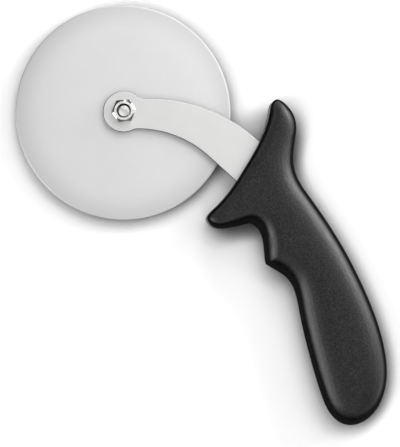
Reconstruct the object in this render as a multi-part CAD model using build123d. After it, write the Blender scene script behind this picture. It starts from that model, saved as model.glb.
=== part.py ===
from build123d import *
import math
import os

# A pizza cutter. A large steel wheel turns on a shoulder screw at the end of a flat, curved
# steel arm, and the arm's tang is moulded into a black plastic handle with a finger guard.
# The cutter lies on the flat back of its handle with the nut facing up.
# Lengths are millimetres and angles are degrees. The model is drawn about the wheel's axis,
# at the height of the arm's middle, with +X from the axis to the butt of the handle, and is
# moved at the end so that its origin is the middle of its footprint.

# Wheel
wheel_diameter = 100.0
wheel_thickness = 1.2
wheel_taper_width = 14.0
wheel_rim_thickness = 0.5
wheel_bevel_width = 0.6
wheel_edge_land = 0.2
wheel_bore_diameter = 11.0

# Shoulder screw
shoulder_diameter = 8.0
thread_diameter = 6.0
screw_head_diameter = 13.5
screw_head_rim = 0.7
screw_head_dome = 1.5
screw_end_chamfer = 0.5
screw_end_depth = 0.7
screw_slot_width = 1.1
screw_slot_depth = 1.2
screw_slot_bearing = 24.0

# Nut
nut_across_flats = 10.0
nut_height = 5.0
nut_face_diameter = 8.7
nut_face_chamfer_angle = 30.0
nut_thread_chamfer = 0.35
nut_corner_bearing = 61.0

# Bush and washers
bush_flange_diameter = 15.0
bush_flange_thickness = 1.0
bush_lip = 0.2
arm_washer_diameter = 13.0
arm_washer_thickness = 1.2
head_washer_diameter = 16.0
head_washer_thickness = 0.8
washer_edge_chamfer = 0.15

# Fits
running_clearance = 0.05
bolt_hole_clearance = 0.2
end_float = 0.1

# Arm
arm_thickness = 2.0
arm_edge_round = 0.4
eye_diameter = 19.0
eye_blend_radius = 5.0
neck_width = 14.2
neck_offset = 0.9
neck_bearing = 54.4
arm_bend = 42.3
top_crest_share = 0.195
top_bend_radius_share = 1.2
low_crest_share = 0.106
low_bend_radius_share = 0.785

# Tang, the end of the arm that is hidden in the handle
root_depth = 8.5
tang_length = 70.0
tang_end_width = 11.0
tang_end_offset = 12.5
tang_corner_radius = 3.0
tang_hole_diameter = 5.5
tang_hole_along_shares = [0.36, 0.6, 0.84]

# Where the handle stands: how far the guard is from the wheel, and which way it points
wheel_to_guard = 12.7
guard_bearing = 32.9
handle_bearing = -15.0

# Handle
handle_length = 131.3
handle_thickness = 19.0
grip_width = 34.6
guard_span = 55.8
handle_layers = 6

# The outline of the handle, seen from the nut side and followed clockwise from the sharp
# corner behind the finger notch. Each row is a share of the handle's length, measured from
# the guard towards the butt, a share of the width at that stretch, positive towards the
# thumb, and how round the edge is, as a share of half the thickness: at 1 it is a full round.
finger_notch_shares = [
    (0.361, -0.277, 0.88),
    (0.328, -0.248, 0.90),
    (0.291, -0.210, 0.92),
    (0.261, -0.194, 0.92),
    (0.237, -0.203, 0.90),
    (0.218, -0.236, 0.86),
]
finger_horn_shares = [
    (0.207, -0.174, 0.80),
    (0.203, -0.214, 0.74),
    (0.200, -0.285, 0.64),
    (0.193, -0.378, 0.52),
    (0.186, -0.436, 0.44),
    (0.172, -0.482, 0.38),
    (0.154, -0.502, 0.34),
    (0.137, -0.503, 0.32),
    (0.124, -0.470, 0.32),
    (0.110, -0.396, 0.32),
]
guard_front_shares = [
    (0.091, -0.305, 0.34),
    (0.065, -0.206, 0.36),
    (0.028, -0.090, 0.38),
    (-0.011, 0.027, 0.38),
    (-0.052, 0.138, 0.38),
    (-0.086, 0.215, 0.38),
    (-0.116, 0.269, 0.37),
    (-0.144, 0.308, 0.35),
]
thumb_horn_shares = [
    (-0.160, 0.332, 0.32),
    (-0.168, 0.358, 0.28),
    (-0.170, 0.390, 0.26),
    (-0.158, 0.424, 0.32),
    (-0.135, 0.456, 0.44),
    (-0.110, 0.475, 0.56),
    (-0.082, 0.480, 0.68),
    (-0.052, 0.465, 0.78),
    (-0.021, 0.430, 0.86),
    (0.010, 0.391, 0.90),
]
grip_shares = [
    (0.060, 0.551, 0.94),
    (0.115, 0.532, 0.96),
    (0.184, 0.587, 0.96),
    (0.259, 0.663, 0.96),
    (0.332, 0.727, 0.96),
    (0.417, 0.786, 0.96),
    (0.515, 0.831, 0.96),
    (0.607, 0.855, 0.96),
    (0.701, 0.855, 0.96),
    (0.787, 0.822, 0.96),
    (0.863, 0.751, 0.96),
    (0.918, 0.653, 0.96),
    (0.966, 0.506, 0.96),
    (0.997, 0.325, 0.96),
    (1.007, 0.155, 0.96),
    (1.000, 0.010, 0.96),
    (0.980, -0.093, 0.96),
    (0.947, -0.162, 0.96),
    (0.896, -0.194, 0.96),
    (0.829, -0.190, 0.96),
    (0.742, -0.165, 0.96),
    (0.666, -0.135, 0.96),
    (0.576, -0.087, 0.96),
    (0.510, -0.046, 0.96),
    (0.466, -0.042, 0.94),
    (0.430, -0.083, 0.92),
    (0.396, -0.172, 0.90),
]

# Sizes worked out from the ones above
arm_reach = wheel_diameter / 2 + wheel_to_guard
shoulder_radius = shoulder_diameter / 2
thread_radius = thread_diameter / 2
bolt_hole_radius = thread_radius + bolt_hole_clearance
bush_bore_radius = shoulder_radius + running_clearance
half_thickness = handle_thickness / 2

# Heights of the stack on the screw, downwards from the back of the arm
arm_top = arm_thickness / 2
arm_back = -arm_thickness / 2
shoulder_top = arm_back - arm_washer_thickness
bush_top = shoulder_top - end_float
wheel_top = bush_top - bush_flange_thickness
wheel_back = wheel_top - wheel_thickness
bush_back = wheel_back - bush_lip
head_washer_top = bush_back - end_float
head_top = head_washer_top - head_washer_thickness
nut_top = arm_top + nut_height
screw_end = nut_top - screw_end_depth


def direction(bearing):
    """A vector of length one in the plan, at an angle from +X."""
    return Vector(math.cos(math.radians(bearing)), math.sin(math.radians(bearing)))


def turned(outline):
    """The solid that a closed outline of (radius, height) points sweeps about the axis."""
    section = Polyline(*[(radius, 0, height) for radius, height in outline], close=True)
    return revolve(make_face(section), Axis.Z)


def ring(bore_radius, outer_radius, low, high, chamfer_size):
    """A flat ring with small chamfers on its outer corners."""
    return turned([
        (bore_radius, low),
        (outer_radius - chamfer_size, low),
        (outer_radius, low + chamfer_size),
        (outer_radius, high - chamfer_size),
        (outer_radius - chamfer_size, high),
        (bore_radius, high),
    ])


# Wheel and bush

def make_cutting_wheel():
    """A thin disc, ground thinner towards its rim in a shallow curve, then to an edge."""
    bore_radius = wheel_bore_diameter / 2
    edge_radius = wheel_diameter / 2
    bevel_radius = edge_radius - wheel_bevel_width
    taper_radius = bevel_radius - wheel_taper_width
    flat_height = wheel_thickness / 2
    rim_height = wheel_rim_thickness / 2
    # The curve leaves the flat face without a crease, so half way out it has fallen a quarter.
    taper_middle = (taper_radius + bevel_radius) / 2
    middle_height = flat_height - (flat_height - rim_height) / 4
    half_section = [
        Polyline((bore_radius, 0, 0), (bore_radius, 0, flat_height), (taper_radius, 0, flat_height)),
        ThreePointArc(
            (taper_radius, 0, flat_height),
            (taper_middle, 0, middle_height),
            (bevel_radius, 0, rim_height),
        ),
        Polyline(
            (bevel_radius, 0, rim_height),
            (edge_radius, 0, wheel_edge_land / 2),
            (edge_radius, 0, 0),
            (bore_radius, 0, 0),
        ),
    ]
    upper = revolve(make_face(half_section), Axis.Z)
    wheel = upper + mirror(upper, about=Plane.XY)
    return Pos(0, 0, (wheel_top + wheel_back) / 2) * wheel


def make_wheel_bush():
    """A flanged sleeve, pressed into the wheel, that runs on the shoulder of the screw."""
    return turned([
        (bush_bore_radius, bush_back),
        (wheel_bore_diameter / 2, bush_back),
        (wheel_bore_diameter / 2, wheel_top),
        (bush_flange_diameter / 2, wheel_top),
        (bush_flange_diameter / 2, bush_top),
        (bush_bore_radius, bush_top),
    ])


# Screw, nut and washers

def make_axle_screw():
    """A domed head, the shoulder that the wheel turns on, and a threaded end with a slot."""
    head_radius = screw_head_diameter / 2
    rim_back = head_top - screw_head_rim
    head_back = rim_back - screw_head_dome
    dome = ThreePointArc(
        (-head_radius, 0, rim_back), (0, 0, head_back), (head_radius, 0, rim_back)
    ).trim(1 / 2, 1)
    side = Polyline(
        (head_radius, 0, rim_back),
        (head_radius, 0, head_top),
        (shoulder_radius, 0, head_top),
        (shoulder_radius, 0, shoulder_top),
        (thread_radius, 0, shoulder_top),
        (thread_radius, 0, screw_end - screw_end_chamfer),
        (thread_radius - screw_end_chamfer, 0, screw_end),
        (0, 0, screw_end),
        (0, 0, head_back),
    )
    screw = revolve(make_face(dome + side), Axis.Z)
    slot = Box(thread_diameter * 2, screw_slot_width, screw_slot_depth * 2)
    return screw - Pos(0, 0, screw_end) * Rot(0, 0, screw_slot_bearing) * slot


def make_axle_nut():
    """A hexagon nut with both faces chamfered to a circle."""
    bore_mouth = thread_radius + nut_thread_chamfer
    face_radius = nut_face_diameter / 2
    corner_radius = nut_across_flats / 2 / math.cos(math.radians(30))
    fall = (corner_radius - face_radius) * math.tan(math.radians(nut_face_chamfer_angle))
    turned_blank = turned([
        (thread_radius, arm_top + nut_thread_chamfer),
        (bore_mouth, arm_top),
        (face_radius, arm_top),
        (corner_radius, arm_top + fall),
        (corner_radius, nut_top - fall),
        (face_radius, nut_top),
        (bore_mouth, nut_top),
        (thread_radius, nut_top - nut_thread_chamfer),
    ])
    hexagon = RegularPolygon(corner_radius, 6, rotation=nut_corner_bearing)
    return turned_blank & Pos(0, 0, arm_top) * extrude(hexagon, nut_height)


def make_arm_washer():
    """The washer between the shoulder of the screw and the back of the arm."""
    return ring(
        bolt_hole_radius, arm_washer_diameter / 2, shoulder_top, arm_back, washer_edge_chamfer
    )


def make_head_washer():
    """The washer between the head of the screw and the back of the wheel."""
    return ring(
        bush_bore_radius, head_washer_diameter / 2, head_top, head_washer_top,
        washer_edge_chamfer,
    )


# Arm

guard_point = direction(guard_bearing) * arm_reach
neck_frame = Location((0, 0, 0), (0, 0, neck_bearing))
handle_frame = Location(guard_point, (0, 0, handle_bearing))


def arm_strip():
    """The bent strip from the eye to its root in the handle, and the hidden tang."""
    along_neck = direction(neck_bearing)
    across_neck = direction(neck_bearing + 90)
    along_root = direction(neck_bearing - arm_bend)
    root_end = guard_point + along_root * root_depth

    def edge_of_strip(height, crest_share, radius_share):
        crest = along_neck * (crest_share * arm_reach) + across_neck * height
        radius = radius_share * arm_reach
        centre = crest - across_neck * radius
        lead = math.degrees(math.asin(crest_share / radius_share))
        start = centre + direction(neck_bearing + 90 + lead) * radius
        middle = centre + direction(neck_bearing + 90 - arm_bend / 2) * radius
        end = centre + direction(neck_bearing + 90 - arm_bend) * radius
        corner = end + along_root * (root_end - end).dot(along_root)
        return start, middle, end, corner

    top = edge_of_strip(neck_width / 2 - neck_offset, top_crest_share, top_bend_radius_share)
    low = edge_of_strip(-neck_width / 2 - neck_offset, low_crest_share, low_bend_radius_share)

    tang_corners = [
        handle_frame.position
        + direction(handle_bearing) * tang_length
        + direction(handle_bearing + 90) * (tang_end_offset + side * tang_end_width / 2)
        for side in (1, -1)
    ]
    outline = [
        ThreePointArc(top[0], top[1], top[2]),
        Polyline(top[2], top[3], tang_corners[0], tang_corners[1], low[3], low[2]),
        ThreePointArc(low[2], low[1], low[0]),
        Line(low[0], top[0]),
    ]
    tang_root = (top[3] + low[3]) / 2
    tang_end = (tang_corners[0] + tang_corners[1]) / 2
    return make_face(outline), tang_corners, tang_root, tang_end


def make_arm():
    """One flat stamping: the eye, the curved neck and the tang with its moulding holes."""
    eye_radius = eye_diameter / 2
    strip, tang_corners, tang_root, tang_end = arm_strip()
    blank = Circle(eye_radius) + strip
    blend_corners = blank.vertices().sort_by_distance((0, 0, 0))[:2]
    blank = fillet(blend_corners, eye_blend_radius)
    end_corners = [blank.vertices().sort_by_distance(corner)[0] for corner in tang_corners]
    blank = fillet(end_corners, tang_corner_radius)
    blank -= Circle(bolt_hole_radius)
    for along_share in tang_hole_along_shares:
        centre = tang_root + (tang_end - tang_root) * along_share
        blank -= Pos(centre) * Circle(tang_hole_diameter / 2)
    plate = Pos(0, 0, arm_back) * extrude(blank, arm_thickness)
    faces = plate.faces().sort_by(Axis.Z)
    return fillet(faces[0].edges() + faces[-1].edges(), arm_edge_round)


# Handle

def handle_rows():
    """The outline's points in the handle's frame, each with the radius of its edge."""
    tables = [
        (finger_notch_shares, grip_width),
        (finger_horn_shares, guard_span),
        (guard_front_shares, guard_span),
        (thumb_horn_shares, guard_span),
        (grip_shares, grip_width),
    ]
    points = []
    radii = []
    for table, width in tables:
        for along_share, across_share, round_share in table:
            points.append(Vector(along_share * handle_length, across_share * width))
            radii.append(round_share * half_thickness)
    return points, radii


def neighbour(points, index, step, distance):
    """The next point, counted on or back along the outline, that is at least so far away."""
    other = index + step
    while (points[other % len(points)] - points[index]).length < distance:
        other += step
    return points[other % len(points)]


def inward(points, index, radius):
    """The direction into the handle at a point, judged over a stretch as long as the radius."""
    here = points[index]
    behind = neighbour(points, index, -1, radius)
    ahead = neighbour(points, index, 1, radius)
    travel = (here - behind).normalized() + (ahead - here).normalized()
    return Vector(travel.Y, -travel.X).normalized()


def edge_inset(radius, height):
    """How far the rounded edge stands in from the outline at a height."""
    climb = max(0, abs(height) - (half_thickness - radius))
    return radius - math.sqrt(max(0, radius * radius - climb * climb))


def make_handle(arm):
    """The moulded handle: layers of one outline, drawn in towards its two flat faces."""
    points, radii = handle_rows()
    inwards = [inward(points, index, radius) for index, radius in enumerate(radii)]
    loop = points + points[:1]
    steps = [(after - before).length for before, after in zip(loop, loop[1:])]
    distances = [sum(steps[:count]) / sum(steps) for count in range(len(loop))]

    layers = []
    for layer in range(-handle_layers, handle_layers + 1):
        height = half_thickness * math.sin(math.radians(90 * layer / handle_layers))
        layer_points = [
            point + way_in * edge_inset(radius, height) + Vector(0, 0, height)
            for point, way_in, radius in zip(points, inwards, radii)
        ]
        outline = Edge.make_spline(layer_points + layer_points[:1], parameters=distances)
        layers.append(handle_frame * Wire([outline]))
    return Solid.make_loft(layers) - arm


# Put together

arm = make_arm()
pieces = {
    "handle": make_handle(arm),
    "arm": arm,
    "cutting_wheel": make_cutting_wheel(),
    "wheel_bush": make_wheel_bush(),
    "axle_screw": make_axle_screw(),
    "axle_nut": make_axle_nut(),
    "arm_washer": make_arm_washer(),
    "head_washer": make_head_washer(),
}

bounds = Compound(children=[Compound([piece]) for piece in pieces.values()]).bounding_box()
to_origin = Pos(-bounds.center().X, -bounds.center().Y, -bounds.min.Z)

os.makedirs("parts", exist_ok=True)
for name, piece in pieces.items():
    export_step(to_origin * piece, f"parts/{name}.step")

axle = to_origin.position
print("size", [round(side, 2) for side in bounds.size])
print("wheel axis at", round(axle.X, 3), round(axle.Y, 3), "arm's middle at height", round(axle.Z, 3))
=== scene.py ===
# %% [markdown]
# # A pizza cutter, lit and finished
# The cutter lies on a white table: a thin steel wheel, a flat curved steel arm held by a screw
# and a nut, and a black plastic handle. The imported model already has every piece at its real
# size and place, so this lesson adds what the eye judges: the camera, the light and the finish
# of each surface. One piece, the handle, also gets a fuller shape. Lengths are metres, as
# everywhere in Blender.

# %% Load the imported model
import math

import bmesh
import bpy
import numpy as np
from mathutils import Matrix, Vector


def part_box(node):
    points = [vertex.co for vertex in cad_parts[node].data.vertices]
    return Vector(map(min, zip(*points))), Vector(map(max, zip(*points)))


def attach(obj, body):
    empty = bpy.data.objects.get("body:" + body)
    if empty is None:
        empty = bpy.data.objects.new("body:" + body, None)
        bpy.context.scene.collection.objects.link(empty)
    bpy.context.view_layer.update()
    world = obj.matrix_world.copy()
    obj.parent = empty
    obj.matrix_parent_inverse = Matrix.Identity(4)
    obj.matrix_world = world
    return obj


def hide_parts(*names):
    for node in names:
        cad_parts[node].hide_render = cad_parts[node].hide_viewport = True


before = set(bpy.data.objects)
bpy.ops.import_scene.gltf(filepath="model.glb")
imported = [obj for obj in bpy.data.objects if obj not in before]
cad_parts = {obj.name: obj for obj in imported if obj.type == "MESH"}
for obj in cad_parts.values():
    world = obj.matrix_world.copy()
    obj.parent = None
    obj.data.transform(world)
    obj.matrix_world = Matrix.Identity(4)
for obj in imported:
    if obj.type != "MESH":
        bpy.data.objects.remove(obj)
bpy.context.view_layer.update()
print("pieces:", ", ".join(sorted(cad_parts)))

# %% [markdown]
# ## Where things are
# Every later step needs two or three places, such as the axis that the wheel turns on. They
# could be typed in again, but then they would drift from the model when a size changes, so they
# are read from the boxes of the model's own pieces. Only the bearing that the handle was drawn
# at can't be read from a box.

# %% Places read from the model
scene = bpy.context.scene
wheel_low, wheel_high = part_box("cutting_wheel")
axle = (wheel_low + wheel_high) / 2
wheel_radius = (wheel_high.x - wheel_low.x) / 2
handle_low, handle_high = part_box("handle")
handle_bearing = -15.0
print("axle at", [round(1000 * value, 2) for value in axle], "mm")

# %% [markdown]
# ## Directions
# The camera, the lamps and a shadow all need directions. A direction is given here as people say
# it: a bearing, the angle in the plan from the model's +X, and a slant, the angle from straight
# up, both in degrees. Four helpers turn these into vectors and put things in the scene, so that
# no later step has a sine or a matrix in it.

# %% Directions and placing
def in_plan(bearing, length=1.0):
    """A flat vector at a bearing."""
    return Vector((math.cos(math.radians(bearing)), math.sin(math.radians(bearing)), 0)) * length


def leaning(bearing, slant):
    """A direction that leans from straight up towards a bearing."""
    upwards = Vector((0, 0, math.cos(math.radians(slant))))
    return in_plan(bearing, math.sin(math.radians(slant))) + upwards


def put_in_scene(name, data):
    """A new object in the scene, at the origin."""
    made = bpy.data.objects.new(name, data)
    scene.collection.objects.link(made)
    return made


def stand(thing, place, back, up):
    """Stands a camera or a lamp at a place, looking away from its back."""
    up = (up - back * up.dot(back)).normalized()
    axes = Matrix((up.cross(back), up, back)).transposed().to_4x4()
    thing.matrix_world = Matrix.Translation(place) @ axes


print("from straight up, 30 degrees towards +X:", [round(part, 2) for part in leaning(0, 30)])

# %% [markdown]
# ## Camera
# The photograph is taken from straight above, so nearly all of the picture is set by three
# facts: how many millimetres a pixel covers, where the axle falls in the picture, and which way
# the picture's right side points in the model. The camera leans a few degrees, which is why one
# wall of the guard shows. A long lens is chosen, because a short one would spread the handle,
# which stands nearer to the camera than the wheel.

# %% What the photograph fixes
picture_width = 400
picture_height = 447
axle_pixel = (123.6, 112.5)
metres_per_pixel = 0.0004668
picture_right_bearing = 54.4
camera_lean = 3.5
camera_lean_bearing = 253.7

picture_right = in_plan(picture_right_bearing)
picture_up = in_plan(picture_right_bearing + 90)
aim = (
    axle
    + picture_right * ((picture_width / 2 - axle_pixel[0]) * metres_per_pixel)
    + picture_up * ((axle_pixel[1] - picture_height / 2) * metres_per_pixel)
)
print("picture centre at", [round(1000 * value, 1) for value in aim], "mm")

# %% Camera
camera_lens = 135.0
camera_sensor = 36.0

camera_distance = picture_height * metres_per_pixel * camera_lens / camera_sensor
towards_camera = leaning(camera_lean_bearing, camera_lean)
camera = put_in_scene("camera", bpy.data.cameras.new("camera"))
camera.data.lens = camera_lens
camera.data.sensor_width = camera_sensor
camera_right = (picture_right - towards_camera * picture_right.dot(towards_camera)).normalized()
camera_place = aim + towards_camera * camera_distance
stand(camera, camera_place, towards_camera, towards_camera.cross(camera_right))
scene.camera = camera
scene.view_settings.view_transform = "Standard"
print("camera", round(camera_distance, 3), "m above the table")

# %% [markdown]
# ## Writing materials as sums
# A material is a graph of nodes. Wiring each sum by hand takes four lines and hides the idea, so
# small classes do it. An Output wraps one output of a node and understands + - * and abs. Nodes
# holds one graph and adds any node by its type, its settings and its inputs. A Finish is the
# graph of one new material.

# %% Sums of node outputs
class Output:
    """One output of a node, for use in ordinary sums."""

    def __init__(self, nodes, socket):
        self.nodes = nodes
        self.socket = socket

    def __add__(self, other):
        return self.nodes.math("ADD", self, other)

    def __sub__(self, other):
        return self.nodes.math("SUBTRACT", self, other)

    def __rsub__(self, other):
        return self.nodes.math("SUBTRACT", other, self)

    def __mul__(self, other):
        return self.nodes.math("MULTIPLY", self, other)

    def __abs__(self):
        return self.nodes.math("ABSOLUTE", self)

    __radd__ = __add__
    __rmul__ = __mul__


print("node outputs can be added, subtracted and multiplied")

# %% One graph of nodes
class Nodes:
    """The nodes of one material or world."""

    def __init__(self, owner):
        self.owner = owner
        owner.use_nodes = True
        self.tree = owner.node_tree
        self.tree.nodes.clear()

    def node(self, kind, settings=None, inputs=None, output=0):
        """Adds a node, sets it up, fills or links its inputs and returns one of its outputs."""
        made = self.tree.nodes.new(kind)
        for name, value in (settings or {}).items():
            setattr(made, name, value)
        for name, value in (inputs or {}).items():
            if isinstance(value, Output):
                self.tree.links.new(value.socket, made.inputs[name])
            else:
                made.inputs[name].default_value = value
        return Output(self, made.outputs[output]) if len(made.outputs) else None

    def math(self, operation, *values):
        return self.node("ShaderNodeMath", {"operation": operation}, dict(enumerate(values)))

    def between(self, value, low, high):
        """0 below low, 1 above high, and a smooth rise between them."""
        return self.node(
            "ShaderNodeMapRange",
            {"interpolation_type": "SMOOTHSTEP"},
            {"Value": value, "From Min": low, "From Max": high},
        )

    def vector(self, operation, first, second=(0, 0, 0), output="Vector"):
        return self.node(
            "ShaderNodeVectorMath", {"operation": operation}, {0: first, 1: second}, output
        )

    def length(self, vector):
        return self.vector("LENGTH", vector, output="Value")

    def part(self, vector, axis):
        """The X, Y or Z of a vector."""
        return self.node("ShaderNodeSeparateXYZ", {}, {0: vector}, axis)

    def join(self, x, y, z):
        """A vector from its three parts."""
        return self.node("ShaderNodeCombineXYZ", {}, {0: x, 1: y, 2: z})


print("node graphs ready")

# %% One new material
class Finish(Nodes):
    """The nodes of one new material."""

    def __init__(self, name):
        super().__init__(bpy.data.materials.new(name))

    def place(self):
        """Where a point is in the model, in metres."""
        return self.node("ShaderNodeTexCoord", output="Object")

    def blend(self, amount, first, second):
        """A colour that turns into another as an amount goes from 0 to 1."""
        first, second = (
            colour if isinstance(colour, Output) else (*colour, 1) for colour in (first, second)
        )
        inputs = {0: amount, 6: first, 7: second}
        return self.node("ShaderNodeMix", {"data_type": "RGBA"}, inputs, 2)

    def give_way(self, amount, first, second):
        """A shader that gives way to another as an amount goes from 0 to 1."""
        return self.node("ShaderNodeMixShader", {}, {0: amount, 1: first, 2: second})

    def finished(self, shader):
        """Closes the graph and hands over the material."""
        self.node("ShaderNodeOutputMaterial", {}, {"Surface": shader})
        print(self.owner.name, "is a graph of", len(self.tree.nodes), "nodes")
        return self.owner


def grey(level):
    return (level, level, level)


print("materials ready")

# %% [markdown]
# ## Table
# The cutter lies on a table so white that it vanishes in the picture. Stronger lamps would
# bleach the steel before they did that, and a table that only glows would show no shadow. So a
# wide disc does both: near the cutter it is plain white paint that takes the shadows, and
# farther out it glows by itself.

# %% Wide disc
table_radius = 8.0
table_sides = 96

table_shape = bmesh.new()
bmesh.ops.create_circle(table_shape, cap_ends=True, radius=table_radius, segments=table_sides)
table_mesh = bpy.data.meshes.new("table")
table_shape.to_mesh(table_mesh)
table_shape.free()
table = put_in_scene("table", table_mesh)
print("table", 2 * table_radius, "m across")

# %% [markdown]
# ### The dark line along the cutter
# Close to the cutter the real table is darker, most of all at the picture's lower right. Soft
# lamps leave no such line. An Ambient Occlusion node gives it: it looks out from a point into
# half a sphere and says how much of it is free. Here that half sphere is turned to the picture's
# upper left, so the points at the lower right of the cutter find it in their view and darken.
# The node only takes a Normal that is linked, so the direction goes through a Combine node.

# %% Shadow where the cutter is near
contact_reach = 0.011
contact_bearing = picture_right_bearing + 142
contact_slant = 52
contact_closed = 0.42
contact_darkest = 0.08

white = Finish("white_table")
contact_view = leaning(contact_bearing, contact_slant)
openness = white.node(
    "ShaderNodeAmbientOcclusion",
    {"samples": 8},
    {"Distance": contact_reach, "Normal": white.join(*contact_view)},
    "AO",
)
contact = contact_darkest + (1 - contact_darkest) * white.between(openness, contact_closed, 1.0)
print("contact shadow reaches", round(1000 * contact_reach), "mm")

# %% [markdown]
# ### White for whoever looks, duller as a lamp
# The camera has to see white, and so has a ray that the steel mirrors. But light that bounces
# off the table also falls on the cutter, and from so white a table that is too much. A Light
# Path node tells the two apart, so rays that look meet the white and all others meet a duller
# paint. The white is laid on in two coats, a full one and a thin one, because the lamps are set
# for the steel and leave one coat just short of white.

# %% Table finish
shadow_radius = 0.30
glow_radius = 0.75
second_coat = 0.15
dull_level = 0.55


def paint(level):
    """White paint of a level, darker where the cutter is near."""
    colour = white.blend(contact, grey(0.0), grey(level))
    return white.node("ShaderNodeBsdfDiffuse", {}, {"Color": colour})


painted = white.node("ShaderNodeAddShader", {}, {0: paint(1.0), 1: paint(second_coat)})
glowing = white.node("ShaderNodeEmission", {}, {"Color": (1, 1, 1, 1), "Strength": 1.0})
glow = white.between(white.length(white.place()), shadow_radius, glow_radius)
dull = white.node("ShaderNodeBsdfDiffuse", {}, {"Color": (*grey(dull_level), 1)})
from_camera, from_mirror, through_glass = (
    white.node("ShaderNodeLightPath", output=ray)
    for ray in ("Is Camera Ray", "Is Glossy Ray", "Is Transmission Ray")
)
seen = white.math("MINIMUM", from_camera + from_mirror + through_glass, 1.0)
table_surface = white.give_way(seen, dull, white.give_way(glow, painted, glowing))
table_mesh.materials.append(white.finished(table_surface))

# %% [markdown]
# ## Light
# Steel and black plastic show their surroundings, so each lamp is a soft box that is placed by
# what it should draw. The two overhead boxes fill the flat steel. The key box, at the picture's
# top, and the side box, at its right, lift the upper right of the wheel. The right box draws the
# long bright line along the handle's right shoulder, and the low right box a faint one beside
# it. The left box draws the left shoulder, and the butt box the end of the handle. One sun lamp
# would be simpler, but it throws a hard shadow that the photograph doesn't have.

# %% Soft boxes
def soft_box(name, bearing, slant, distance, width, length, length_bearing, power):
    """A soft box at a bearing and a slant, aimed at the cutter."""
    box = put_in_scene(name, bpy.data.lights.new(name, "AREA"))
    box.data.shape = "RECTANGLE"
    box.data.size = width
    box.data.size_y = length
    box.data.energy = power
    back = leaning(bearing, slant)
    stand(box, lamp_aim + back * distance, back, in_plan(length_bearing))


lamp_aim = Vector((0, 0, handle_high.z / 2))
soft_boxes = [
    # name, bearing, slant, distance, width, length, bearing of the length, power
    ("overhead_right_box", picture_right_bearing + 45, 24, 1.5, 1.0, 1.0, 0, 3.7),
    ("overhead_left_box", picture_right_bearing + 212, 22, 1.5, 1.0, 1.0, 0, 2.1),
    ("key_box", picture_right_bearing + 82, 46, 1.4, 0.8, 0.8, 0, 4.6),
    ("side_box", picture_right_bearing + 12, 46, 1.2, 0.5, 0.6, 0, 1.7),
    ("right_box", picture_right_bearing + 32, 68, 1.0, 0.26, 0.50, handle_bearing, 4.2),
    ("low_right_box", picture_right_bearing - 14, 68, 1.0, 0.26, 0.50, handle_bearing, 0.3),
    ("left_box", handle_bearing - 90, 54, 1.0, 0.50, 0.50, handle_bearing, 3.0),
    ("butt_box", handle_bearing, 34, 1.0, 0.50, 0.50, handle_bearing, 1.3),
]
for row in soft_boxes:
    soft_box(*row)
print(len(soft_boxes), "soft boxes,", round(sum(row[-1] for row in soft_boxes), 1), "watts")

# %% [markdown]
# ### The room around
# Between the boxes the cutter shows the room. A white room would turn the black handle grey, and
# a black one would leave holes in the steel. So the world is dim at the horizon, where the
# handle's sides look, and a little lighter overhead, where the flat steel looks.

# %% Dim room
room_dim = 0.05
room_overhead = 0.19
room_rise = (0.25, 0.95)

room = Nodes(bpy.data.worlds.new("studio"))
height = room.part(room.node("ShaderNodeTexCoord", output="Generated"), "Z")
strength = room_dim + (room_overhead - room_dim) * room.between(height, *room_rise)
background = room.node("ShaderNodeBackground", {}, {"Color": (1, 1, 1, 1), "Strength": strength})
room.node("ShaderNodeOutputWorld", {}, {"Surface": background})
scene.world = room.owner
print("room from", room_dim, "at the horizon to", room_overhead, "overhead")

# %% [markdown]
# ## The shape of the handle
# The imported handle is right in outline, but its edge is one plain round. The real grip is an
# oval all through: it starts to fall away near its middle, which makes the light fade softly
# across it. A subdivision surface could give that, but it would also eat the guard's corners. So
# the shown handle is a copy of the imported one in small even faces, and its points are then
# pressed down in code, just where the oval asks for it.
#
# First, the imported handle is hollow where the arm's tang sits. Nobody sees that room and it
# would leave a thin skin, so it is filled in. Its faces are found by spreading from the level
# ones next to the tang, without crossing a sharp corner.

# %% Fill the room of the tang
level_normal = 0.99
touching = 0.00001
merge_distance = 0.000002
sharp_corner = math.radians(60)


def tang_room(shape):
    """The faces around the arm's tang."""
    sides = [corner.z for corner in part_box("arm")]
    waiting = []
    for face in shape.faces:
        height = face.calc_center_median().z
        beside_tang = min(abs(height - side) for side in sides) < touching
        if beside_tang and abs(face.normal.z) > level_normal:
            waiting.append(face)
    found = set()
    while waiting:
        face = waiting.pop()
        if face not in found:
            found.add(face)
            for edge in face.edges:
                if edge.calc_face_angle(0) < sharp_corner:
                    waiting.extend(edge.link_faces)
    return [face for face in shape.faces if face in found]


solid_handle = bmesh.new()
solid_handle.from_mesh(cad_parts["handle"].data)
bmesh.ops.remove_doubles(solid_handle, verts=solid_handle.verts[:], dist=merge_distance)
solid_handle.normal_update()
room_faces = tang_room(solid_handle)
print("faces around the tang:", len(room_faces))
bmesh.ops.delete(solid_handle, geom=room_faces, context="FACES")
rims = [edge for edge in solid_handle.edges if edge.is_boundary]
bmesh.ops.holes_fill(solid_handle, edges=rims, sides=0)
many_sided = [face for face in solid_handle.faces if len(face.verts) > 4]
bmesh.ops.triangulate(solid_handle, faces=many_sided)

# %% [markdown]
# ### Even faces
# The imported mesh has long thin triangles, which can't be bent. A Remesh modifier in voxel mode
# builds the same solid again from small even faces. They are small enough for the round of an
# edge, and no smaller, because faces half as wide are four times as many.

# %% Copy in even faces
face_size = 0.0006

skin_data = bpy.data.meshes.new("handle_skin")
solid_handle.to_mesh(skin_data)
skin = put_in_scene("handle_skin", skin_data)
even_faces = skin.modifiers.new("even_faces", "REMESH")
even_faces.mode = "VOXEL"
even_faces.voxel_size = face_size
bpy.context.view_layer.update()
even_mesh = bpy.data.meshes.new_from_object(
    skin.evaluated_get(bpy.context.evaluated_depsgraph_get())
)
bpy.data.objects.remove(skin)
print("skin:", len(even_mesh.polygons), "faces")

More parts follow.
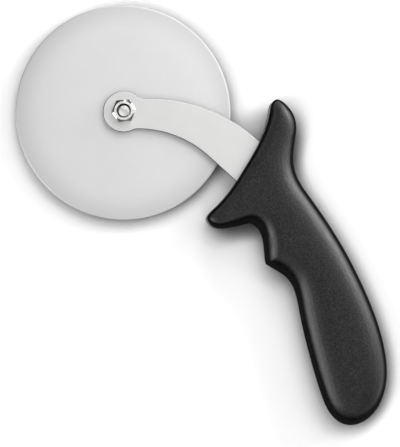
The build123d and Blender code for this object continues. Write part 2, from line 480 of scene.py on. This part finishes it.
# %% [markdown]
# ### The outline
# The rounds start at the handle's outline, so the outline is needed as a row of points. A cut
# through the solid at half its height gives it, and each edge of the cut is divided until the
# points are close enough to measure from.

# %% Points along the outline
sample_spacing = 0.0003
handle_middle = (handle_low.z + handle_high.z) / 2

cut = bmesh.ops.bisect_plane(
    solid_handle,
    geom=solid_handle.verts[:] + solid_handle.edges[:] + solid_handle.faces[:],
    plane_co=(0, 0, handle_middle),
    plane_no=(0, 0, 1),
)
samples = []
for edge in cut["geom_cut"]:
    if isinstance(edge, bmesh.types.BMEdge):
        start, end = (vertex.co.xy for vertex in edge.verts)
        count = max(1, math.ceil((end - start).length / sample_spacing))
        samples += [start.lerp(end, step / count) for step in range(count)]
outline = np.array(samples)
solid_handle.free()
print("outline:", len(outline), "points")

# %% [markdown]
# ### The rounds, place by place
# On the grip the round reaches in to the middle and nearly no upright wall is left. At the
# guard's front it is tight, with a tall wall. Each row of the table says, for one place of the
# outline, how far in the round reaches and how high the wall is. Places are measured along and
# across the handle from the middle of the guard's front.

# %% Rounds at places of the outline
guard_bearing = 32.9
guard_gap = 0.0127
round_rows_mm = [
    # along, across, reach of the round, height of the wall above the middle
    (38, -7, 9.0, 0.8),
    (47, -9, 10.0, 1.0),
    (29, -8, 9.0, 0.9),
    (27, -12, 7.5, 2.0),
    (25, -24, 5.0, 4.8),
    (19, -28, 4.6, 5.2),
    (8, -12, 4.8, 5.2),
    (-1, 1, 4.8, 5.2),
    (-15, 15, 6.0, 4.4),
    (-22, 21, 5.0, 4.8),
    (-18, 25, 6.0, 4.5),
    (-11, 27, 11.5, 2.0),
    (-3, 24, 13.0, 1.0),
    (8, 19, 14.0, 0.5),
    (15, 18, 15.0, 0.4),
    (34, 23, 15.5, 0.4),
    (68, 29, 15.5, 0.4),
    (103, 28, 15.5, 0.4),
    (125, 18, 15.0, 0.4),
    (131, 0, 15.0, 0.4),
    (117, -7, 15.5, 0.4),
    (87, -5, 15.5, 0.4),
    (61, -1, 15.0, 0.4),
    (55, -3, 13.0, 0.5),
]
round_rows = np.array(round_rows_mm) * 0.001
guard_place = axle + in_plan(guard_bearing, wheel_radius + guard_gap)
along = np.array(in_plan(handle_bearing).xy)
across = np.array(in_plan(handle_bearing + 90).xy)
row_places = np.array(guard_place.xy) + round_rows[:, :1] * along + round_rows[:, 1:2] * across
print("rounds given at", len(round_rows), "places")

# %% [markdown]
# ### From places to the whole outline
# Between two places the round has to change slowly, or the light would show a step. So every
# point of the outline takes a mean of the rows, in which near rows weigh most, and these values
# are then evened out along the outline, each with its close neighbours, again and again.

# %% Rounds at every point of the outline
row_reach = 0.006
neighbour_reach = 0.002
evening_steps = 40
least_weight = 1e-30


def far_apart(first, second):
    """The distance from each point of one list to each point of another."""
    return np.linalg.norm(first[:, None, :] - second[None, :, :], axis=2)


def weights(first, second, reach):
    """How much each point of one list takes from each point of another."""
    near = np.exp(-((far_apart(first, second) / reach) ** 2)) + least_weight
    return near / near.sum(axis=1, keepdims=True)


round_reach, wall_height = (weights(outline, row_places, row_reach) @ round_rows[:, 2:]).T
neighbours = weights(outline, outline, neighbour_reach)
for _ in range(evening_steps):
    round_reach = neighbours @ round_reach
    wall_height = neighbours @ wall_height
least, most = (round(1000 * float(value), 1) for value in (round_reach.min(), round_reach.max()))
print("rounds reach in by", least, "to", most, "mm")

# %% [markdown]
# ### Pressing
# Each point of the skin is brought down to the lowest of the rounds that start around it, above
# the middle and below it alike. A power of 2 makes a round an exact oval, and a little more
# makes it as full as a moulded grip. Points that are lower already stay where they are.

# %% Press the skin down to the rounds
fullness = 2.2
points_at_a_time = 1500
half_thickness = (handle_high.z - handle_low.z) / 2


def height_over(places):
    """How far the skin may stand from the middle over each place, in metres."""
    lowest = []
    for few in np.array_split(places, max(1, len(places) // points_at_a_time)):
        inwards = np.clip(1 - far_apart(few, outline) / round_reach, 0, 1)
        rounds = wall_height + (half_thickness - wall_height) * np.sqrt(1 - inwards**fullness)
        lowest.append(rounds.min(axis=1))
    return np.concatenate(lowest)


points = np.zeros(len(even_mesh.vertices) * 3)
even_mesh.vertices.foreach_get("co", points)
points = points.reshape(-1, 3)
limit = height_over(points[:, :2])
packed_rise = points[:, 2] - handle_middle
rise = np.sign(packed_rise) * np.minimum(np.abs(packed_rise), limit)
pressed = float(np.max(np.abs(packed_rise) - np.abs(rise)))
print("pressed down by up to", round(1000 * pressed, 2), "mm")

# %% [markdown]
# ### Smoothing
# Where two rounds meet, a fine crease is left. Each point of the upper and lower faces is drawn
# to the mean height of its neighbours a few times, which takes the crease out. A near neighbour
# pulls harder than a far one, because the faces aren't all alike in the plan and an even pull
# would leave waves. The sides stay as they are.

# %% Smooth the pressed skin
smoothing_steps = 24
smoothing_share = 0.5
smooth_from = 0.0055
smooth_fully_from = 0.0075
shortest_edge = 0.00005

edge_ends = np.zeros(len(even_mesh.edges) * 2, dtype=int)
even_mesh.edges.foreach_get("vertices", edge_ends)
starts, ends = edge_ends.reshape(-1, 2).T


def add_up(at_starts, at_ends):
    """The sum at every point of what its edges bring to it."""
    total = np.bincount(starts, at_starts, len(points))
    return total + np.bincount(ends, at_ends, len(points))


edge_length = np.linalg.norm(points[starts, :2] - points[ends, :2], axis=1)
pull = 1 / edge_length.clip(shortest_edge)
whole_pull = add_up(pull, pull)
share = np.clip((limit - smooth_from) / (smooth_fully_from - smooth_from), 0, 1) * smoothing_share
for _ in range(smoothing_steps):
    mean = add_up(pull * rise[ends], pull * rise[starts]) / whole_pull
    rise += (mean - rise) * share
print("smoothed", int((share > 0).sum()), "of", len(points), "points")

# %% [markdown]
# ### The new piece
# The new heights go back into the mesh, and the object is declared: it rides with the arm, and it
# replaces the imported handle, which is then hidden.

# %% Moulded handle
points[:, 2] = handle_middle + rise
even_mesh.vertices.foreach_set("co", points.ravel())
even_mesh.update()
even_mesh.shade_smooth()
moulded_handle = put_in_scene("moulded_handle", even_mesh)
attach(moulded_handle, "handle_and_arm")
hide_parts("handle")
print("moulded handle ready")

# %% [markdown]
# ## What every piece's finish needs
# A real surface is never one flat colour, so each finish that follows starts from noise, which
# is laid out in metres on the piece itself and moves with it. Marks that run round need to know
# where the wheel's axis is, and worn or shaded places which way the surface faces. An image
# could hold all of this, but it would need unwrapping, and it would blur from close by.

# %% Noise, bumps and facing
class PieceFinish(Finish):
    """The nodes of one new material for a piece of the cutter."""

    def spoke(self):
        """The flat vector from the wheel's axis to a point."""
        from_axle = self.vector("SUBTRACT", self.place(), (axle.x, axle.y, 0))
        return self.vector("MULTIPLY", from_axle, (1, 1, 0))

    def facing(self):
        """The way that a point's surface faces."""
        return self.node("ShaderNodeTexCoord", output="Normal")

    def level(self):
        """1 where a surface lies level, 0 where it stands upright."""
        return abs(self.part(self.facing(), "Z"))

    def noise(self, vector, grains_per_metre, detail=3.0, roughness=0.5):
        """Soft noise about 0.5, whose patches are one grain across."""
        sockets = {"Scale": grains_per_metre, "Detail": detail, "Roughness": roughness}
        return self.node("ShaderNodeTexNoise", {}, {"Vector": vector, **sockets})

    def bump(self, height, depth):
        """Normals for a surface whose height, from 0 to 1, stands for a depth in metres."""
        inputs = {"Height": height, "Strength": 1.0, "Distance": depth}
        return self.node("ShaderNodeBump", {}, inputs)

    def shader(self, **inputs):
        """The main shader, whose socket names are written with _ for a space."""
        named = {name.replace("_", " "): value for name, value in inputs.items()}
        return self.node("ShaderNodeBsdfPrincipled", {}, named)


print("piece finishes ready")

# %% [markdown]
# ## Black plastic
# The handle is moulded in one shot of black plastic. Its mould was given a fine grain, so the
# surface is semi-matt: a bright line breaks up into small specks instead of a mirror streak. One
# size of grain would look printed, so two are laid over each other, and a broad slow change is
# added to the roughness alone, as handling leaves it.

# %% Moulded grain
fine_grains = 2600
middle_grains = 1400
broad_patches = 90
speck_edge = (0.3, 0.7)
fine_share = 0.4
plastic_roughness = 0.29
patch_roughness = 0.06
grain_roughness = 0.10


def moulded_grain(plastic):
    """The grain's height from 0 to 1, and the roughness that goes with it."""
    fine, middle = (
        plastic.between(
            plastic.noise(plastic.place(), grains, detail=2.0, roughness=0.6), *speck_edge
        )
        for grains in (fine_grains, middle_grains)
    )
    grain = fine_share * fine + (1 - fine_share) * middle
    patches = plastic.noise(plastic.place(), broad_patches)
    return grain, plastic_roughness + patch_roughness * patches + grain_roughness * grain


print("grain of", round(1000 / middle_grains, 1), "and", round(1000 / fine_grains, 1), "mm")

# %% [markdown]
# ### Which way the plastic faces
# The flat top is dark grey, each shoulder has a bright soft line and the sides are nearly black,
# most of all those that face down the picture. That comes from a studio which can't be given back
# in full, so a part of it is painted into the plastic by the way that the surface faces: painted
# shade on the sides, most of all on those that face down the picture, and a painted sheen that
# makes the front wall of the guard lighter. The masks here say where. The front wall of the
# guard, which is as upright as the sides but lighter, is told from them by its distance to the
# axle.

# %% Masks of the handle
shoulder_tilt = (0.0, 0.25)
side_tilt = (0.15, 0.40)
upright_tilt = (0.90, 0.99)
front_end = (wheel_radius + 0.018, wheel_radius + 0.024)
shaded_side = in_plan(picture_right_bearing - 90)
shaded_from = 0.12
shaded_weight = 0.45


def handle_masks(plastic):
    """Where the shoulders, the sides with their painted shade and the guard's front wall with its
    painted sheen are, from 0 to 1.
    """
    tilt = 1 - plastic.level()
    upright = plastic.between(tilt, *upright_tilt)
    # The front wall mask also marks where a lighter grey is painted on as sheen.
    front = upright * (1 - plastic.between(plastic.length(plastic.spoke()), *front_end))
    shoulders = plastic.between(tilt, *shoulder_tilt) - upright
    turned = plastic.vector("DOT_PRODUCT", plastic.facing(), shaded_side, "Value")
    shaded = plastic.math("MAXIMUM", turned - shaded_from, 0.0)
    # The sides mask marks where painted shade goes; surfaces that face down the picture get more
    # of it.
    sides = plastic.between(tilt + shaded_weight * shaded, *side_tilt) - front
    return shoulders, sides, front


print("guard's front wall ends", round(1000 * front_end[1], 1), "mm from the axle")

# %% [markdown]
# ### One plastic from three shaders
# The top and the shoulders are the same black, but the shoulders mirror more, and the sides carry
# painted shade: a darker, plain matt black that mirrors nothing. Mixing whole shaders is chosen
# over changing one shader's index of refraction, because a mix can be baked and a changing index
# can't.

# %% Black plastic
# The sides' darker black is painted shade, and the front wall's lighter grey is a painted sheen.
skin_black = (0.034, 0.034, 0.0343)
side_painted_shade = (0.016, 0.016, 0.0162)
front_painted_sheen = grey(0.05)
grain_depth = 0.00007
top_refraction = 1.38
shoulder_refraction = 2.0
side_roughness = 0.8
side_shade_share = 0.95


def black_plastic():
    plastic = PieceFinish("black_plastic")
    grain, rough = moulded_grain(plastic)
    shoulders, sides, front = handle_masks(plastic)
    specks = grain * grain
    # The guard's front wall gets a lighter grey, a painted sheen.
    skin = plastic.blend(specks, grey(0.0), skin_black)
    common = {
        "Base_Color": plastic.blend(front, skin, front_painted_sheen),
        "Roughness": rough,
        "Normal": plastic.bump(grain, grain_depth),
    }
    top = plastic.shader(IOR=top_refraction, **common)
    shoulder = plastic.shader(IOR=shoulder_refraction, **common)
    # This matt shader with its darker black is the painted shade of the sides.
    side = plastic.shader(
        Base_Color=plastic.blend(specks, grey(0.0), side_painted_shade),
        Roughness=side_roughness,
        Specular_IOR_Level=0.0,
        Normal=common["Normal"],
    )
    skin_shader = plastic.give_way(shoulders, top, shoulder)
    return plastic.finished(plastic.give_way(side_shade_share * sides, skin_shader, side))


handle_plastic = black_plastic()

# %% [markdown]
# ## Steel
# All the metal is stainless steel, but each piece is finished another way. The pieces share one
# shader, to which each brings its own colour, its roughness and the height of its marks.
#
# The wheel is ground while it spins, so its marks run in circles. Noise is stretched into rings
# by giving it the radius, many times over, and the direction, hardly at all. Broad clouds keep
# the rings from looking printed, and a painted shade darkens the steel towards the rim.

# %% Ground wheel
rings_per_metre = 3200
pattern_along_rings = 4
wheel_clouds = 60
wheel_tones = (grey(0.71), grey(0.83))
rim_painted_shade = grey(0.65)
rim_width = 0.016
wheel_roughness = 0.44
wheel_mark_roughness = 0.10
wheel_mark_depth = 0.000002


def metal(steel, colour, roughness, height, depth):
    """A finished steel, from its colour, its roughness and the height of its marks."""
    marked = steel.bump(height, depth)
    shader = steel.shader(Base_Color=colour, Metallic=1.0, Roughness=roughness, Normal=marked)
    return steel.finished(shader)


def ground_wheel():
    steel = PieceFinish("ground_wheel")
    spoke = steel.spoke()
    radius = steel.length(spoke)
    around = steel.vector("NORMALIZE", spoke)
    rings = steel.join(
        pattern_along_rings * steel.part(around, "X"),
        pattern_along_rings * steel.part(around, "Y"),
        rings_per_metre * radius,
    )
    marks = steel.noise(rings, 1.0, roughness=0.6)
    clouds = steel.noise(steel.place(), wheel_clouds)
    open_steel = steel.blend(0.5 * marks + 0.5 * clouds, *wheel_tones)
    # Towards the rim the steel is painted darker, a painted shade.
    rim_shade = steel.between(radius, wheel_radius - rim_width, wheel_radius)
    colour = steel.blend(rim_shade * rim_shade, open_steel, rim_painted_shade)
    roughness = wheel_roughness + wheel_mark_roughness * marks
    return metal(steel, colour, roughness, marks, wheel_mark_depth)


wheel_steel = ground_wheel()

# %% [markdown]
# ### The arm
# The arm is stamped from sheet and then tumbled among small stones, so its marks have no
# direction: a fine noise for the marks, and a broad one for the clouds among them. Its edge is a
# thin dark line of painted shade: the colour is dark where the surface tilts away from level.

# %% Tumbled arm
arm_marks = 2200
arm_clouds = 120
arm_tones = ((0.71, 0.71, 0.705), (0.81, 0.81, 0.805))
arm_mark_share = 0.4
edge_painted_shade = grey(0.05)
edge_shade_tilt = (0.08, 0.35)
arm_roughness = 0.36
arm_mark_roughness = 0.12
arm_mark_depth = 0.000004


def tumbled_arm():
    steel = PieceFinish("tumbled_arm")
    marks = steel.noise(steel.place(), arm_marks, roughness=0.6)
    clouds = steel.noise(steel.place(), arm_clouds)
    mixed = arm_mark_share * marks + (1 - arm_mark_share) * clouds
    # The edge's dark tone is painted shade, where the surface tilts away from level.
    edge = steel.between(1 - steel.level(), *edge_shade_tilt)
    colour = steel.blend(edge, steel.blend(mixed, *arm_tones), edge_painted_shade)
    roughness = arm_roughness + arm_mark_roughness * marks
    return metal(steel, colour, roughness, marks, arm_mark_depth)


arm_steel = tumbled_arm()

# %% [markdown]
# ### Painted shade in the groove round the screw
# In the middle of the nut a dark ring shows where the end of the screw meets the thread: shade in
# that groove. The model's thread is a plain cylinder, so the shade is painted as a tone, on what
# lies outside one circle and inside a second one. The painted shade is wider at its upper left,
# so the first circle is moved half a millimetre to the lower right.

# %% Painted shade in the groove
groove_aside = in_plan(picture_right_bearing - 38, 0.0005)
groove_inner = (0.0024, 0.0029)
groove_outer = (0.0030, 0.0033)


def screw_groove_shade(steel):
    """1 in the ring of painted shade round the end of the screw, 0 away from it."""
    spoke = steel.spoke()
    from_inner = steel.length(steel.vector("SUBTRACT", spoke, groove_aside))
    outside_inner = steel.between(from_inner, *groove_inner)
    return outside_inner - steel.between(steel.length(spoke), *groove_outer)


print("groove inside", round(2000 * groove_outer[0], 1), "mm across")

# %% [markdown]
# ### Screw, nut and washers
# These are faced on a lathe, so their marks run round, in rings on the level faces and in hoops
# on the upright ones. In the photograph the nut's slanted corners flash white beside dark ones,
# so the slanted faces are smoother than the level ones, and the steel itself is patchy.

# %% Bright fasteners
turning_marks = 6000
fastener_patches = 700
patch_edge = (0.35, 0.65)
fastener_tones = ((0.70, 0.70, 0.69), (0.92, 0.92, 0.91))
groove_painted_shade = grey(0.05)
groove_shade_strength = 0.85
level_from = (0.90, 0.98)
slanted_roughness = 0.15
level_roughness = 0.24
turning_roughness = 0.06
turning_depth = 0.000003


def bright_fasteners():
    steel = PieceFinish("bright_fasteners")
    radius = steel.length(steel.spoke())
    height = steel.part(steel.place(), "Z")
    rings = steel.join(turning_marks * radius, 0, turning_marks * height)
    marks = steel.noise(rings, 1.0, detail=2.0)
    patches = steel.noise(steel.place(), fastener_patches, detail=2.0)
    bright = steel.blend(steel.between(patches, *patch_edge), *fastener_tones)
    # The dark ring in the groove is painted shade.
    colour = steel.blend(groove_shade_strength * screw_groove_shade(steel), bright, groove_painted_shade)
    level = steel.between(steel.level(), *level_from)
    roughness = slanted_roughness + level_roughness * level + turning_roughness * marks
    return metal(steel, colour, roughness, marks, turning_depth)


fastener_steel = bright_fasteners()

# %% [markdown]
# ## Nylon bush
# The sleeve that the wheel turns on is taken to be undyed nylon, an off-white plastic with a dull
# skin. Only the edge of its flange can be seen, from the side, so one fine noise is enough for
# its tone, its roughness and its height.

# %% Nylon bush
nylon_grains = 1500
nylon_tones = ((0.70, 0.69, 0.64), (0.80, 0.79, 0.75))
nylon_roughness = 0.45
nylon_grain_roughness = 0.10
nylon_grain_depth = 0.00001


def nylon_bush():
    nylon = PieceFinish("nylon_bush")
    grain = nylon.noise(nylon.place(), nylon_grains, detail=2.0)
    shader = nylon.shader(
        Base_Color=nylon.blend(grain, *nylon_tones),
        Roughness=nylon_roughness + nylon_grain_roughness * grain,
        Normal=nylon.bump(grain, nylon_grain_depth),
    )
    return nylon.finished(shader)


bush_nylon = nylon_bush()

# %% [markdown]
# ## Putting the finishes on
# Each piece gets its one material by name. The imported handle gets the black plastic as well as
# the new one, so that it is right wherever it is shown by itself.

# %% Finishes by piece
finishes = {
    "handle": handle_plastic,
    "cutting_wheel": wheel_steel,
    "arm": arm_steel,
    "axle_screw": fastener_steel,
    "axle_nut": fastener_steel,
    "arm_washer": fastener_steel,
    "head_washer": fastener_steel,
    "wheel_bush": bush_nylon,
}
for name, material in finishes.items():
    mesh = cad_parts[name].data
    mesh.materials.clear()
    mesh.materials.append(material)
even_mesh.materials.clear()
even_mesh.materials.append(handle_plastic)
print("finished:", ", ".join(finishes))
